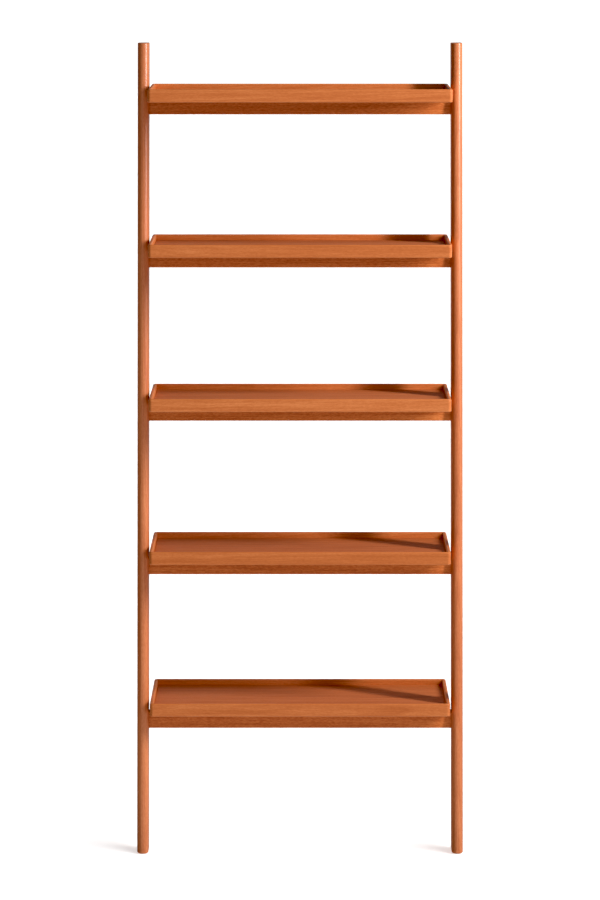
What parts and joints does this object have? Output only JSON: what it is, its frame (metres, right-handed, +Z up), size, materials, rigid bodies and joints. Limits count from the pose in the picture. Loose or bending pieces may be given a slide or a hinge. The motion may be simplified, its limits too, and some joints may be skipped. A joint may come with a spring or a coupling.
{
  "type": "ladder shelf",
  "caption": "Leaning wooden ladder shelf: shallow rimmed trays on rectangular rungs between round-edged uprights, with steel angles to fix it to the wall.",
  "frame": {"origin": "on the floor, midway across the width and midway through the depth of the trays", "axes": "+X to the right seen from the front, +Y back to the wall, +Z up"},
  "size_m": [0.8, 0.3, 1.979],
  "materials": {
    "upright_wood": "satin orange-brown stain",
    "rung_wood": "satin orange-brown stain",
    "rim_wood": "satin orange-brown stain",
    "panel_wood": "satin orange-brown stain",
    "screw_steel": "zinc plated",
    "bracket_steel": "zinc plated",
    "pad_rubber": "matt"
  },
  "bodies": {
    "root": {"upright_left": "upright_wood", "upright_right": "upright_wood", "rung_1": "rung_wood", "tray_1_panel": "panel_wood", "tray_1_rim_front": "rim_wood", "tray_1_rim_back": "rim_wood", "tray_1_rim_left": "rim_wood", "tray_1_rim_right": "rim_wood", "rung_2": "rung_wood", "tray_2_panel": "panel_wood", "tray_2_rim_front": "rim_wood", "tray_2_rim_back": "rim_wood", "tray_2_rim_left": "rim_wood", "tray_2_rim_right": "rim_wood", "rung_3": "rung_wood", "tray_3_panel": "panel_wood", "tray_3_rim_front": "rim_wood", "tray_3_rim_back": "rim_wood", "tray_3_rim_left": "rim_wood", "tray_3_rim_right": "rim_wood", "rung_4": "rung_wood", "tray_4_panel": "panel_wood", "tray_4_rim_front": "rim_wood", "tray_4_rim_back": "rim_wood", "tray_4_rim_left": "rim_wood", "tray_4_rim_right": "rim_wood", "rung_5": "rung_wood", "tray_5_panel": "panel_wood", "tray_5_rim_front": "rim_wood", "tray_5_rim_back": "rim_wood", "tray_5_rim_left": "rim_wood", "tray_5_rim_right": "rim_wood", "rung_screw_1_left": "screw_steel", "tray_screw_1_left": "screw_steel", "rung_screw_1_right": "screw_steel", "tray_screw_1_right": "screw_steel", "rung_screw_2_left": "screw_steel", "tray_screw_2_left": "screw_steel", "rung_screw_2_right": "screw_steel", "tray_screw_2_right": "screw_steel", "rung_screw_3_left": "screw_steel", "tray_screw_3_left": "screw_steel", "rung_screw_3_right": "screw_steel", "tray_screw_3_right": "screw_steel", "rung_screw_4_left": "screw_steel", "tray_screw_4_left": "screw_steel", "rung_screw_4_right": "screw_steel", "tray_screw_4_right": "screw_steel", "rung_screw_5_left": "screw_steel", "tray_screw_5_left": "screw_steel", "rung_screw_5_right": "screw_steel", "tray_screw_5_right": "screw_steel", "wall_bracket_left": "bracket_steel", "bracket_screw_left": "screw_steel", "foot_pad_left": "pad_rubber", "wall_bracket_right": "bracket_steel", "bracket_screw_right": "screw_steel", "foot_pad_right": "pad_rubber"}
  },
  "joints": []
}
